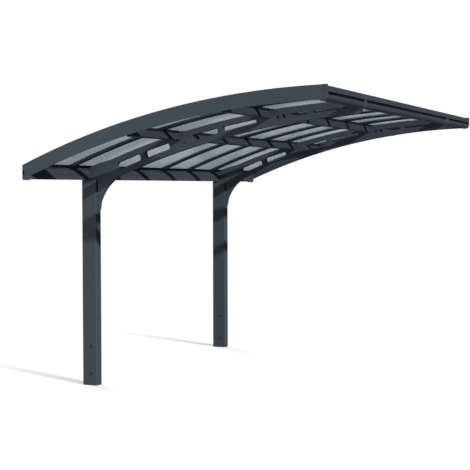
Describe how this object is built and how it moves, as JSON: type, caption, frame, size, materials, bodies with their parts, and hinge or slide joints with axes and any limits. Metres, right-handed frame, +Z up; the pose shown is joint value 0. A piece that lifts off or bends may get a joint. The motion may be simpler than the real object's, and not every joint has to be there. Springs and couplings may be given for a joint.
{
  "type": "cantilever carport",
  "caption": "Open carport with two side posts, slotted curved cantilever arms, purlins, a gutter and a barrel-curved roof of translucent panels.",
  "frame": {"origin": "middle of the left post's foot, on the ground", "axes": "+X along the eave to the right post, the tip of the roof points to -Y, +Z up"},
  "size_m": [4.992, 2.713, 2.5997],
  "materials": {
    "frame": "satin anthracite powder coat on aluminium",
    "bars": "satin dark powder coat on aluminium",
    "caps": "moulded dark plastic",
    "steel": "galvanised",
    "panels": "translucent grey twin-wall sheet"
  },
  "bodies": {
    "root": {"left_post": "frame", "right_post": "frame", "left_anchor": "steel", "right_anchor": "steel", "left_arm": "frame", "right_arm": "frame", "left_knee": "frame", "right_knee": "frame", "gutter": "frame", "left_gutter_cap": "caps", "right_gutter_cap": "caps", "purlin_low_left": "frame", "purlin_low_mid": "frame", "purlin_low_right": "frame", "purlin_high_left": "frame", "purlin_high_mid": "frame", "purlin_high_right": "frame", "tip_beam_left": "frame", "tip_beam_mid": "frame", "tip_beam_right": "frame", "left_tip_cap": "caps", "right_tip_cap": "caps", "left_fascia": "frame", "right_fascia": "frame", "bar_1": "bars", "bar_2": "bars", "bar_3": "bars", "bar_4": "bars", "bar_5": "bars", "bar_6": "bars", "bar_7": "bars", "panel_1": "panels", "panel_2": "panels", "panel_3": "panels", "panel_4": "panels", "panel_5": "panels", "panel_6": "panels", "panel_7": "panels", "panel_8": "panels"}
  },
  "joints": []
}
